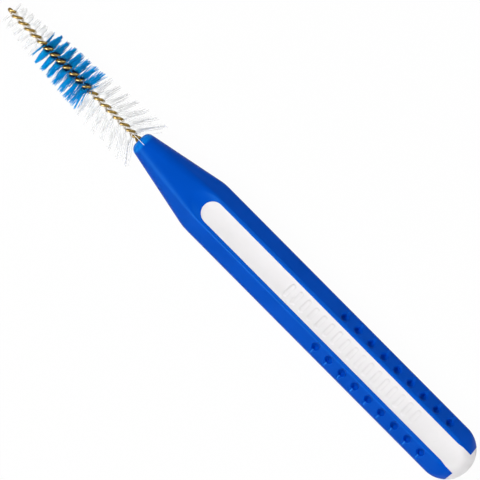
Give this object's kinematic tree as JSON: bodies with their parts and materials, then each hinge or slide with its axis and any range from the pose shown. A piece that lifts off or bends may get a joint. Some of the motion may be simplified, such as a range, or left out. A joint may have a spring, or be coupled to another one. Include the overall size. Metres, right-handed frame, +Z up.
{
  "type": "interdental brush",
  "caption": "Interdental brush: faceted two-plastic handle with a tapered nose, and a twisted wire with a fan of filaments in three bands.",
  "frame": {"origin": "centre of the footprint of the whole brush, on the plane that its back face rests on", "axes": "+X along the brush, from the tip of the wire to the rounded end of the handle; +Z up, out of the long face that the picture shows; +Y across the handle"},
  "size_m": [0.0718, 0.0066, 0.0066],
  "materials": {
    "blue_plastic": "satin moulded",
    "white_plastic": "satin moulded",
    "coated_wire": "drawn and coated",
    "white_filament": "extruded nylon",
    "blue_filament": "extruded nylon"
  },
  "bodies": {
    "root": {"handle_body": "blue_plastic", "handle_insert": "white_plastic", "twisted_wire": "coated_wire", "tip_bristles": "white_filament", "middle_bristles": "blue_filament", "base_bristles": "white_filament"}
  },
  "joints": []
}
